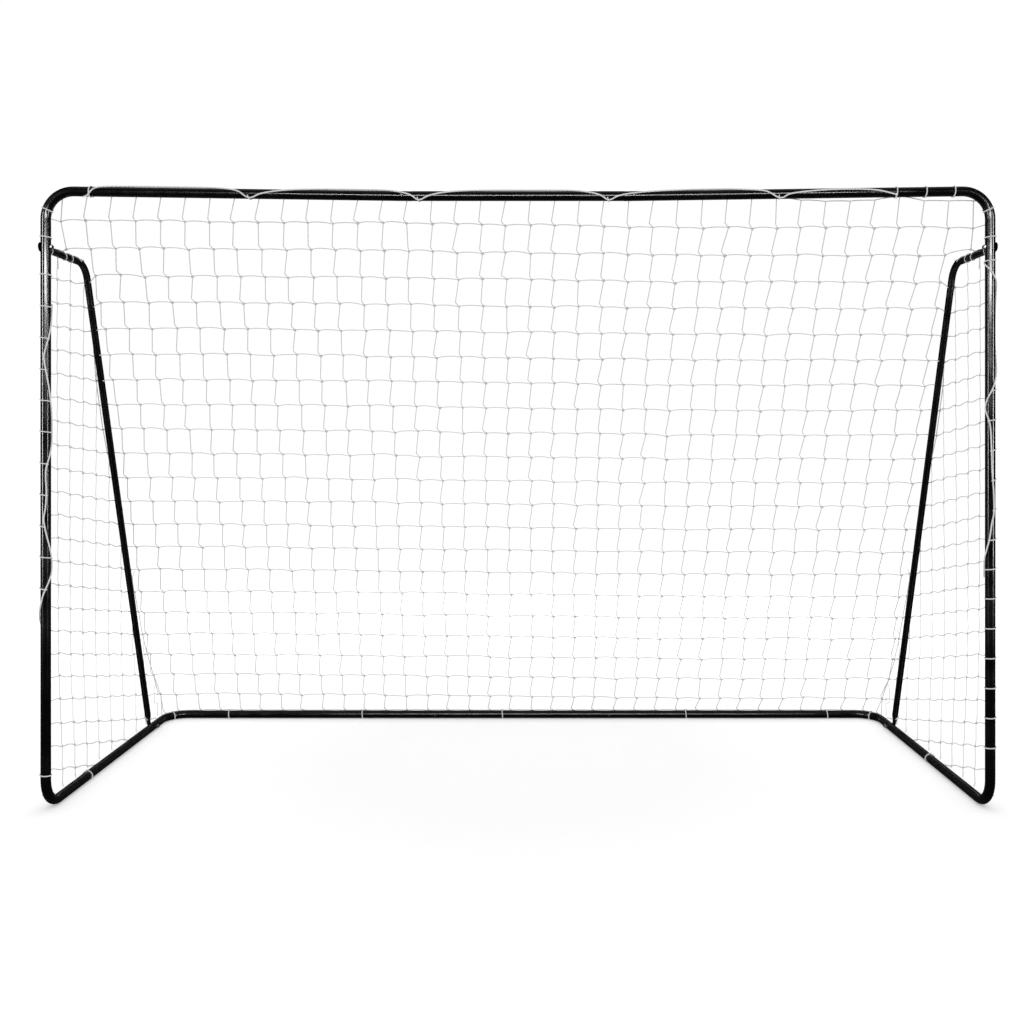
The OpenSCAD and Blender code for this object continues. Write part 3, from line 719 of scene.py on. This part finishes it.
# The outermost column is the seam: behind the brace, or further back where the belly is deeper.
seam_rows = slice(3, ROWS)
for side, edge in ((-1, 0), (1, -1)):
    seam = knot[seam_rows, edge].copy()
    outer = side * knot[seam_rows, edge, 0]
    seam[:, 0] = side * np.clip(outer, BRACE_X, BRACE_X + 0.02)
    seam[:, 1] = np.maximum(seam[:, 1], brace_depth(seam[:, 2]) + BRACE_R + 0.0018)
    knot[seam_rows, edge] = seam
    knot[2, edge, :] = [side * 1.204, 0.108, BRACE_TOP_Z + BRACE_R + 0.004]
# Near the ground the outer columns draw in, and they end on the rear corner's own bend.
reach_out = NET_HALF_WIDTH - 0.038 * (np.clip(row - 18, 0, 4) / 4) ** 2
knot[:, :, 0] = np.clip(knot[:, :, 0], -reach_out[:, None], reach_out[:, None])
knot[ROWS, [0, -1], 0] = [-POST_X, POST_X]
round_corner = np.clip((np.abs(knot[ROWS, :, 0]) - BEND_X) / BEND_R, 0, 1)
knot[ROWS, :, 1] -= BEND_R * (1 - np.sqrt(1 - round_corner ** 2))
knot[:, :, 1] += FRONT_Y
knot = off_the_steel(knot, 0.00135)
print("back net", knot.shape[0], "rows by", knot.shape[1], "uprights")

# %% [markdown]
# ## From knots to twine
# Twine between two knots is never straight. The knot holds each upright a little askew, so it leans
# and then hooks back just above the next knot, and each row rises a little as it leaves a knot. The
# same lean repeats all over the sheet because the net was knitted on a machine.

# %% Lines through the knots
HOOK = np.array([0, 0.15, 0.35, 0.55, 0.72, 0.84, 0.9, 0.96])
HUMP = np.array([0, 0.15, 0.32, 0.5, 0.7, 0.86])


def upright_lines(points, hook=0.008):
    """Lines down (knots, columns, 3): straight between knots, plus a lean to the left that grows over
    the first 0.85 of each mesh and falls back over the rest."""
    top, foot = points[:-1, :, None], points[1:, :, None]
    saw = np.where(HOOK < 0.85, HOOK / 0.85, (1 - HOOK) / 0.15)
    line = top + (foot - top) * HOOK[:, None]
    line[..., 0] -= hook * saw * (1 + 0.25 * draw.randn(*line.shape[:2]))[..., None]
    line = line.transpose(1, 0, 2, 3).reshape(points.shape[1], -1, 3)
    return np.concatenate([line, points[-1][:, None]], axis=1)


def row_lines(points, hump=0.0032):
    """Lines along (rows, knots, 3): straight between knots, plus a rise of hump just after each knot
    that is gone at the next: hump * 4 w^0.7 (1 - w) / 1.3."""
    start, end = points[:, :-1, None], points[:, 1:, None]
    rise_up = hump * 4 * HUMP ** 0.7 * (1 - HUMP) / 1.3
    line = start + (end - start) * HUMP[:, None]
    line[..., 2] += rise_up * (1 + 0.3 * draw.randn(*line.shape[:2]))[..., None]
    return np.concatenate([line.reshape(len(points), -1, 3), points[:, -1:]], axis=1)


TWINE_R = 0.0015
FALL_R = 0.0011
SIDEWAYS = np.array([1.0, 0.0, 0.0])
UPWARD = np.array([0.0, 0.0, 1.0])
INWARD = np.array([0.0, 1.0, 0.0])

# %% Back net
uprights = off_the_steel(upright_lines(knot[:, 1:-1]), TWINE_R)
seams = knot[3:, [0, -1]]
knee_top = seams[:1].copy()
knee_top[0, :, 1:] = [FRONT_Y + KNEE_DEPTH - 0.011, BRACE_TOP_Z + BRACE_R + 0.002]
seams = off_the_steel(upright_lines(np.concatenate([knee_top, seams]), 0.001), TWINE_R)
parts = [sweep(uprights, TWINE_R, 6, SIDEWAYS), sweep(seams, TWINE_R, 6, SIDEWAYS)]
back_uprights = make_piece("back_net_uprights", *join_parts(parts), net_twine)
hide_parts("net_back")
rows = row_lines(knot[1:-1])
edge_rows = row_lines(knot[[0, -1]], 0.0012)
rows = off_the_steel(np.concatenate([rows, edge_rows]), TWINE_R)
make_piece("back_net_rows", *sweep(rows, TWINE_R, 6, UPWARD), net_twine)
slope_out = np.array([0.0, 0.88, 0.47])
make_piece("back_net_knots", *knots(knot[1:-1].reshape(-1, 3), slope_out, KNOT_SIZE, 3), shaded_knot_twine)


# %% [markdown]
# ## Side nets
# The side sheets hang outside the braces. Their rows are sewn to the back sheet in one seam behind each
# brace, so that they start level there and climb or fall to the post, and the lowest rows die out on
# the ground rail. The uprights fall straight from the brace's arm or from the seam.

# %% Rows and uprights of one side net
COLUMN_DEPTHS = np.array([0.052, 0.128, 0.203, 0.283, 0.367, 0.455, 0.545, 0.638, 0.732, 0.825])
SIDE_X = BRACE_X + BRACE_R + 0.0035


def sheet_x(z):
    """How far out the side sheet hangs at height z: clear of the brace, drawn in to the rail low down."""
    return SIDE_X - 0.0115 * (1 - ease(z, 0.02, 0.4))


def side_rows(side, seam):
    """Rows of one side sheet, from the post's outer rear to the seam or to the ground rail, and the
    depths and heights along each."""
    post_heights = 1.3727 - 0.0605 * np.arange(23)
    lines, heights = [], []
    wave = np.linspace(0, 1, 61)
    for r, z0 in enumerate(post_heights):
        if r < len(seam):
            end = seam[r]
        else:
            depth_end = min((z0 - GROUND_Z - TUBE_R) / 0.25, 0.80)
            end = np.array([side * (POST_X + TUBE_R * 0.7), depth_end, GROUND_Z + TUBE_R * 0.9])
        if end[1] < 0.04:
            continue
        d = 0.0095 + (end[1] - 0.0095) * wave
        z = z0 + (end[2] - z0) * wave
        out = np.minimum(ease(d, 0.0, 0.05), ease(end[1] - d, 0.0, 0.022) if r < len(seam)
                         else ease(end[1] - d, 0.0, 0.12))
        tie = np.where(d < end[1] / 2, side * (POST_X + 0.0105), end[0])
        x = tie + (side * (sheet_x(z) + 0.0015 * np.sin(3 * np.pi * wave)) - tie) * out
        every_other = np.searchsorted(COLUMN_DEPTHS, d) % 2
        z = z + 0.0022 * np.sin(d * 74 + r) - 0.0008 * every_other
        lines.append(np.stack([x, d + FRONT_Y, z], -1))
        heights.append((d, z))
    return np.array(lines), heights


def side_falls(side, seam, heights):
    """Uprights of one side sheet, from the brace's arm or the seam down to the rail, and the places
    where they meet a row."""
    falls, crossings = [], []
    seam_top = np.concatenate([[[0, KNEE_DEPTH - 0.011, BRACE_TOP_Z + BRACE_R]], seam])
    for c, dc in enumerate(COLUMN_DEPTHS):
        if dc < KNEE_DEPTH - 0.04:
            top = BRACE_TOP_Z + BRACE_R * 0.6
        else:
            top = float(np.interp(dc, np.maximum.accumulate(seam_top[:, 1]), seam_top[:, 2]))
        foot = GROUND_Z + TUBE_R * 0.8
        z = np.linspace(top, foot, 150)
        out = ease(top - z, -0.004, 0.02)
        inner = BRACE_X + BRACE_R * 0.8
        x = np.where(z > 0.5 * top, inner + (SIDE_X - inner) * out, sheet_x(z)) + 0.0006
        meets = []
        for d_row, z_row in heights:
            if d_row[-1] >= dc:
                zc = float(np.interp(dc, d_row, z_row))
                if foot + 0.015 < zc < top - 0.012:
                    meets.append(zc)
        meets = np.array(sorted(meets, reverse=True))
        marks = np.concatenate([[top], meets, [foot]])
        index = np.clip(np.searchsorted(-marks, -z, side="right") - 1, 0, len(marks) - 2)
        v = np.clip((marks[index] - z) / (marks[index] - marks[index + 1]), 0, 1)
        saw = np.where(v < 0.82, v / 0.82, (1 - v) / 0.18)
        y = dc + FRONT_Y - 0.0055 * saw + 0.004 * np.sin(z * 3 + c)
        falls.append(np.stack([side * x, y, z], -1))
        y_at = np.interp(meets, z[::-1], y[::-1])
        crossings.append(np.stack([side * (sheet_x(meets) + 0.0008), y_at, meets], -1))
    return np.array(falls), np.concatenate(crossings)


for side, word in ((-1, "left"), (1, "right")):
    seam = knot[3:ROWS, 0 if side < 0 else -1] - [0, FRONT_Y, 0]
    lines, heights = side_rows(side, seam)
    falls, crossings = side_falls(side, seam, heights)
    lines = off_the_steel(lines, TWINE_R)
    falls = off_the_steel(falls, TWINE_R)
    sheet = make_piece("side_net_%s_rows" % word, *sweep(lines, TWINE_R, 6, UPWARD), net_twine)
    make_piece("side_net_%s_falls" % word, *sweep(falls, FALL_R, 6, INWARD), lit_fall_twine)
    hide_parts("net_" + word)
    make_piece("side_net_%s_knots" % word, *knots(crossings, (side, 0, 0), SIDE_KNOT_SIZE, 11 + side),
               shaded_knot_twine)


# %% Corners beside the posts, where the back sheet is drawn up to the tube
def corner_twine(side):
    """The last upright of the top corner, which passes outside the brace's arm, and the two top rows
    that run on past it to the post."""
    edge = 0 if side < 0 else -1
    first, second, third = knot[:3, edge] - [0, FRONT_Y, 0]
    over = [[side * (SIDE_X + 0.001), 0.122, BRACE_TOP_Z + 0.006], [side * (SIDE_X + 0.001), 0.1285,
                                                                    1.41]]
    last = [first, second, third, *over]
    top = [first, [side * 1.19, 0.0145, 1.566], [side * 1.205, 0.0145, 1.558]]
    second = [second, [side * 1.206, 0.03, second[2] + 0.001], [side * (POST_X + 0.003), 0.0135,
                                                                second[2]]]
    fine = np.linspace(0, 1, 40)
    lines = []
    for path in (last, top, second):
        path = np.array(path) + [0, FRONT_Y, 0]
        share = np.linspace(0, 1, len(path))
        lines.append(np.stack([np.interp(fine, share, path[:, i]) for i in range(3)], -1))
    return off_the_steel(np.array(lines), TWINE_R)


corner_lines = np.concatenate([corner_twine(-1), corner_twine(1)])
corners = sweep(corner_lines, TWINE_R, 6, np.array([0.15, 0.1, 1.0]))
make_piece("net_corner_twine", *corners, net_twine)

# %% [markdown]
# ## Edge rope and hitches
# One rope wanders along the crossbar and one along each post. It swings from front to back round the
# tube, and twine hitches pinch it to the steel. Three strands laid together make the rope, so its
# section is a round with three gentle lobes that turn as it runs.

# %% Routes of the ropes, as places along the tube and angles round it
CROSSBAR_ROUTE = np.array([
    [0.012, -75], [0.018, -45], [0.03, 40], [0.06, 66], [0.1, 78], [0.14, 74], [0.172, 46], [0.187,
                                                                                             14],
    [0.199, -50], [0.212, -8], [0.235, 30], [0.26, 52], [0.3, 76], [0.34, 72], [0.365, 38], [0.38,
                                                                                             -2],
    [0.389, -50], [0.4, -8], [0.42, 32], [0.45, 60], [0.5, 78], [0.55, 68], [0.575, 38], [0.592, -2],
    [0.602, -50], [0.613, -8], [0.635, 26], [0.67, 52], [0.72, 72], [0.75, 52], [0.776, 24],
    [0.794, -50], [0.806, -8], [0.838, 22], [0.87, 30], [0.9, 16], [0.925, -35]])
LEFT_POST_ROUTE = np.array([
    [1300, 112], [1250, 84], [1210, 48], [1180, 18], [1165, 8], [1150, 12], [1110, 38], [1060, 70],
    [1010, 98], [960, 104], [920, 72], [885, 32], [860, 24], [820, 30], [780, 22], [755, 6], [735,
                                                                                              12],
    [700, 40], [665, 76], [640, 100], [615, 92], [590, 52], [560, 4], [530, -32], [505, -68],
    [480, -104]])
RIGHT_POST_ROUTE = np.array([
    [1404, 96], [1388, 30], [1370, -16], [1350, -64], [1310, -96], [1220, -112], [1150, -84],
    [1110, -40], [1080, 4], [1050, 60], [1030, 74], [1006, 40], [980, 20], [920, 10], [870, 4],
    [820, -10], [770, -14], [740, 8], [700, 30], [670, 60], [645, 92], [600, 112]])
ROPE_R = 0.0018
ROPE_LAY = TUBE_R + ROPE_R + 0.0004


def smooth(points, per=24):
    """A Catmull-Rom curve through the points: each span is the cubic that leaves a point along the
    line joining its two neighbours."""
    p = np.concatenate([[2 * points[0] - points[1]], points, [2 * points[-1] - points[-2]]])
    t = np.linspace(0, 1, per, endpoint=False)[:, None, None]
    a, b, c, d = p[:-3], p[1:-2], p[2:-1], p[3:]
    curve = 0.5 * (2 * b + (c - a) * t + (2 * a - 5 * b + 4 * c - d) * t ** 2
                   + (3 * b - a - 3 * c + d) * t ** 3)
    return np.concatenate([curve.transpose(1, 0, 2).reshape(-1, points.shape[1]), points[-1:]])


def even(line, step):
    """The line walked again in equal steps."""
    run = np.concatenate([[0], np.cumsum(np.linalg.norm(np.diff(line, axis=0), axis=1))])
    at = np.linspace(0, run[-1], max(8, int(run[-1] / step)))
    return np.stack([np.interp(at, run, line[:, i]) for i in range(line.shape[1])], -1)


def round_bar(x, angle, reach):
    """Points round the crossbar; 0 degrees is its front and 90 its top."""
    a = np.radians(angle)
    return np.stack([x, FRONT_Y - reach * np.cos(a), bar_height(x) + reach * np.sin(a)], -1)


def round_post(side, z, angle, reach):
    """Points round a post; 0 degrees is its front and 90 the side that faces the goal's inside."""
    a = np.radians(angle)
    return np.stack([side * POST_X - side * reach * np.sin(a), FRONT_Y - reach * np.cos(a),
                     z + 0 * a], -1)


def rope_piece(name, line, node, facing):
    """A three-stranded rope along one line, in place of that node."""
    parts = sweep(line[None], ROPE_R, 12, facing, lobes=3, lay=0.011)
    rope = make_piece(name, *parts, edge_rope, slot="rope")
    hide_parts(node)
    print(name, "is", round(float(np.linalg.norm(np.diff(line, axis=0), axis=1).sum()), 3), "m long")
    return rope


# %% The three ropes
route = smooth(CROSSBAR_ROUTE)
bar_rope = even(round_bar(route[:, 0] * 2 * BEND_X - BEND_X, route[:, 1], ROPE_LAY), 0.002)
rope_piece("crossbar_lacing", bar_rope, "crossbar_rope", UPWARD + 0.2 * INWARD)
post_angle = {}
for side, word, table in ((-1, "left", LEFT_POST_ROUTE), (1, "right", RIGHT_POST_ROUTE)):
    route = smooth(table)
    z = route[:, 0] / 1000
    post_angle[side] = (z[::-1], route[::-1, 1])
    post_rope = even(round_post(side, z, route[:, 1], ROPE_LAY), 0.002)
    rope_piece(word + "_post_lacing", post_rope, word + "_post_rope", SIDEWAYS + 0.2 * INWARD)

# %% [markdown]
# ## Hitches of twine
# Wherever the rope dips it is pinched by a turn of twine that goes on round the tube to the net behind.
# Each hitch is an arc of a circle round the tube, at twine's thickness from the steel, which drifts a
# little sideways so that its start and end can pass each other.


# %% Turns of twine round the tubes
def turns(centre, front, up, run, first, last, reach, drift):
    """Arcs centre + reach (cos a * front + sin a * up) + drift * (share - 0.5) * run, a from first to
    last in degrees, one for each centre. An axis or an angle given once serves them all."""
    n = len(centre)
    front, up, run = (np.broadcast_to(np.asarray(v, float), (n, 3)) for v in (front, up, run))
    first, last = (np.radians(np.broadcast_to(np.asarray(v, float), n))[:, None, None]
                   for v in (first, last))
    share = np.linspace(0, 1, 33)[None, :, None]
    a = first + (last - first) * share
    return (centre[:, None] + reach * (np.cos(a) * front[:, None] + np.sin(a) * up[:, None])
            + drift * (share - 0.5) * run[:, None])


def turn_parts(lines, run):
    """Turns swept as tubes, with the tube's own direction as the facing of the rings."""
    facing = np.broadcast_to(np.asarray(run, float)[..., None, :], lines.shape)
    return sweep(lines, TWINE_R, 6, facing)


HITCH = TUBE_R + TWINE_R
FRONT_OUT = -INWARD


def bar_turns(x, first, last, drift):
    """Turns round the crossbar at each x."""
    centres = np.stack([x, np.full(len(x), FRONT_Y), bar_height(x)], -1)
    return turns(centres, FRONT_OUT, UPWARD, SIDEWAYS, first, last, HITCH, drift)


hangers = bar_turns(SAGS, -20.0, -186.0, 0.008)
wraps = bar_turns(np.array([0.02, 0.925, 0.958, 0.99]) * 2 * BEND_X - BEND_X, -150.0, 250.0, 0.006)
bends = []
for side in (-1, 1):
    t = np.radians(20)
    where = np.array([side * (BEND_X + BEND_R * np.cos(t)), FRONT_Y,
                      TOP_Z - BEND_R + BEND_R * np.sin(t)])
    out = (side * np.cos(t), 0, np.sin(t))
    along_tube = (-side * np.sin(t), 0, np.cos(t))
    bends.append(turns(where[None], FRONT_OUT, out, along_tube, -150.0, 250.0, HITCH, 0.006))
parts = [turn_parts(hangers, SIDEWAYS), turn_parts(wraps, SIDEWAYS),
         turn_parts(np.concatenate(bends), UPWARD)]
crossbar_hitches = make_piece("crossbar_hitches", *join_parts(parts), net_twine)
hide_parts("crossbar_loops")

# %% Hitches on the posts
LEFT_HEIGHTS = np.concatenate([1.3735 - 0.08 * np.arange(11), [1.4695, 0.095]])
RIGHT_HEIGHTS = np.concatenate([1.08 - 0.07619 * np.arange(13), [1.4695, 1.409]])
for side, word, heights in ((-1, "left", LEFT_HEIGHTS), (1, "right", RIGHT_HEIGHTS)):
    rope_z, rope_a = post_angle[side]
    inside = (heights > rope_z[0]) & (heights < rope_z[-1])
    first = np.where(inside, np.interp(heights, rope_z, rope_a) + 12, 235.0)
    n = len(heights)
    centres = np.stack([np.full(n, side * POST_X), np.full(n, FRONT_Y), heights], -1)
    ticks = turns(centres, FRONT_OUT, (-side, 0, 0), UPWARD, first, -140.0, HITCH, 0.007)
    hitches = make_piece(word + "_post_hitches", *turn_parts(ticks, UPWARD), net_twine)
    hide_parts("post_loops_" + word)


# %% Ties to the ground bars, and the lacing round each brace arm
def ground_tie(centre, side_way, run):
    """A turn over the tube, open underneath where it would be pressed into the ground."""
    return turns(np.array([centre]), side_way, UPWARD, run, -48.0, 228.0, HITCH, 0.005)


tie_lines, tie_runs = [], []
for share in (0.06, 0.26, 0.47, 0.745, 0.957):
    tie_lines.append(ground_tie([(2 * share - 1) * BEND_X, REAR_Y, GROUND_Z], (0, 1, 0), (1, 0, 0)))
    tie_runs.append((1, 0, 0))
for side, rail_depth in ((-1, 0.244), (1, 0.398)):
    tie_lines.append(ground_tie([side * POST_X, FRONT_Y + rail_depth, GROUND_Z], (side, 0, 0), (0,
                                                                                                1, 0)))
    tie_runs.append((0, 1, 0))
    half = np.sqrt(0.5)
    tie_lines.append(ground_tie([side * (BEND_X + BEND_R * half), REAR_Y - BEND_R + BEND_R * half,
                                 GROUND_Z], (side * half, half, 0), (-side * half, half, 0)))
    tie_runs.append((-side * half, half, 0))
tie_lines = np.concatenate(tie_lines)
ground_hitches = make_piece("ground_hitches", *turn_parts(tie_lines, tie_runs), net_twine)
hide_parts("ground_ties")
tie_tops = tie_lines[:, 16] + [0, 0, 0.0012]
make_piece("ground_hitch_knots", *knots(tie_tops, (0.0, 0.8, 0.6), 0.003, 21), shaded_knot_twine)

arm_turns = []
for side in (-1, 1):
    share = np.linspace(0, 1, 260)
    a = 2 * np.pi * (share + 0.08 * np.sin(9 * share)) * 3.3 + 0.6
    reach = BRACE_R + TWINE_R
    arm_turns.append(np.stack([side * (BRACE_X + reach * np.cos(a)), FRONT_Y + 0.03 + 0.185 * share,
                               BRACE_TOP_Z + reach * np.sin(a)], -1))
make_piece("brace_arm_lacing", *sweep(np.array(arm_turns), FALL_R, 6, INWARD), net_twine)
